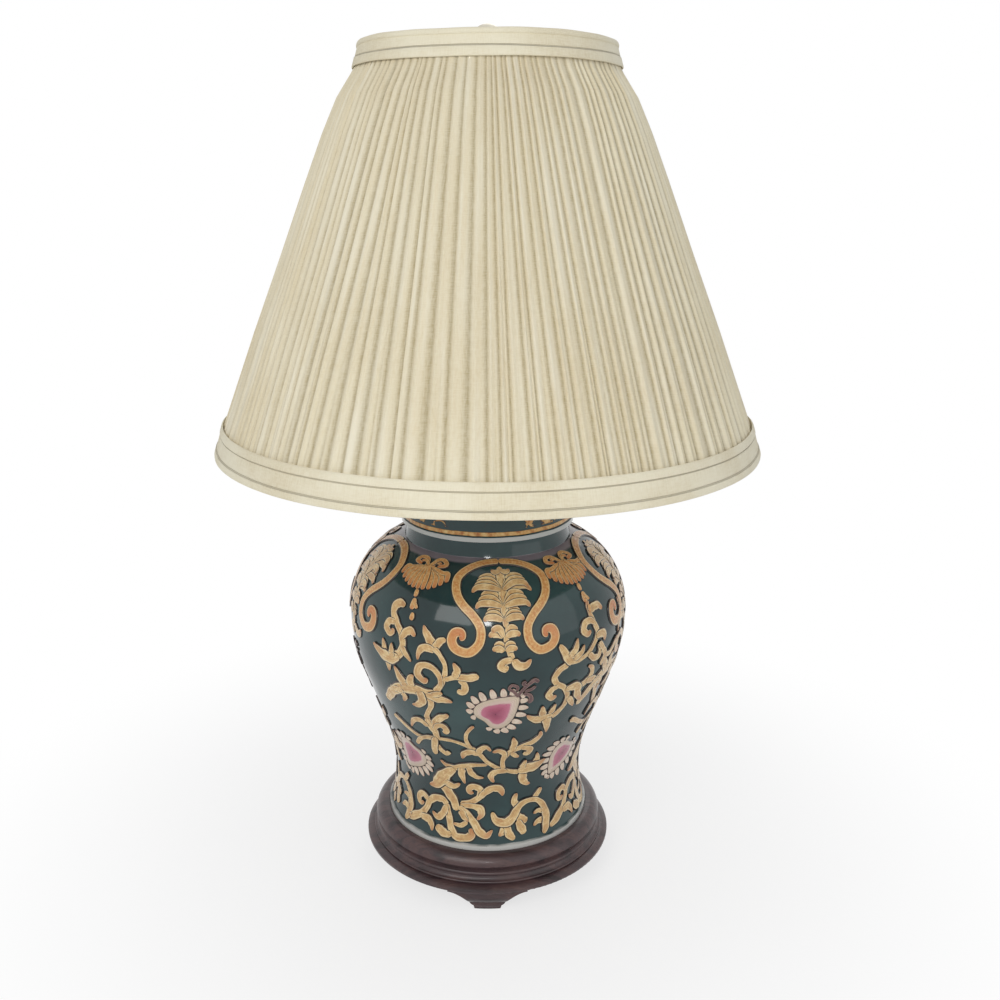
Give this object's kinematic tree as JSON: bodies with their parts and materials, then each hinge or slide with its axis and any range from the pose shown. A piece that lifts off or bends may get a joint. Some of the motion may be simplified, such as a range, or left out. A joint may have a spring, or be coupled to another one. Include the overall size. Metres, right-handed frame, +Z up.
{
  "type": "ginger jar table lamp",
  "caption": "Table lamp: lidded ginger jar on a turned, footed wooden stand, with a pleated empire shade on a harp, a turn-knob socket, a bulb and a brass finial.",
  "frame": {"origin": "centre of the base, on the surface that the lamp stands on", "axes": "+Z up along the lamp's pipe; -Y the front, where the switch knob points; +X to the right seen from the front"},
  "size_m": [0.3556, 0.3556, 0.563],
  "materials": {
    "rosewood": "dark satin lacquer",
    "porcelain": "dark green gloss glaze with raised ornament",
    "zinc_steel": "zinc-plated steel",
    "bushing_plastic": "moulded plastic",
    "gasket_rubber": "soft rubber",
    "brass": "polished and lacquered brass",
    "socket_paper": "insulating fibre paper",
    "socket_phenolic": "moulded phenolic",
    "knob_plastic": "moulded plastic",
    "aluminium": "bright aluminium",
    "bulb_glass": "soft white frosted glass",
    "shade_backing": "stiff white shade backing",
    "shade_cloth": "pleated cream cloth",
    "white_wire": "white painted wire"
  },
  "bodies": {
    "lamp_base": {"wooden_stand": "rosewood", "foot_front": "rosewood", "foot_right": "rosewood", "foot_back": "rosewood", "foot_left": "rosewood", "jar_body": "porcelain", "jar_lid": "porcelain", "lamp_pipe": "zinc_steel", "cord_bushing": "bushing_plastic", "bottom_washer": "zinc_steel", "bottom_nut": "zinc_steel", "lid_gasket": "gasket_rubber", "vase_cap": "brass", "brass_neck": "brass", "harp_saddle": "brass", "harp": "brass", "harp_stud": "brass", "socket_cap": "brass", "socket_shell": "brass", "socket_sleeve": "socket_paper", "socket_block": "socket_phenolic", "terminal_screws": "brass", "screw_shell": "aluminium", "centre_contact": "brass"},
    "left_sleeve": {"sleeve_left": "brass"},
    "right_sleeve": {"sleeve_right": "brass"},
    "switch": {"switch_shaft": "brass", "switch_knob": "knob_plastic"},
    "bulb": {"bulb_base": "aluminium", "bulb_glass": "bulb_glass"},
    "shade": {"shade_liner": "shade_backing", "shade_cover": "shade_cloth", "bottom_trim": "shade_cloth", "top_trim": "shade_cloth", "bottom_ring": "white_wire", "top_ring": "white_wire", "fitter_washer": "white_wire", "fitter_arms": "white_wire"},
    "finial": {"finial": "brass"}
  },
  "joints": [
    {"name": "switch_turn", "type": "hinge", "parent": "lamp_base", "child": "switch", "pos_m": [0, -0.025, 0.33114], "axis": [0, -1, 0], "continuous": true},
    {"name": "bulb_turn", "type": "hinge", "parent": "lamp_base", "child": "bulb", "pos_m": [0, 0, 0.38], "axis": [0, 0, 1], "continuous": true},
    {"name": "shade_turn", "type": "hinge", "parent": "lamp_base", "child": "shade", "pos_m": [0, 0, 0.5417], "axis": [0, 0, 1], "continuous": true},
    {"name": "finial_turn", "type": "hinge", "parent": "lamp_base", "child": "finial", "pos_m": [0, 0, 0.55], "axis": [0, 0, 1], "continuous": true},
    {"name": "sleeve_left_lift", "type": "slide", "parent": "lamp_base", "child": "left_sleeve", "axis": [0, 0, 1], "range_m": [0, 0.014]},
    {"name": "sleeve_right_lift", "type": "slide", "parent": "lamp_base", "child": "right_sleeve", "axis": [0, 0, 1], "range_m": [0, 0.014]}
  ]
}
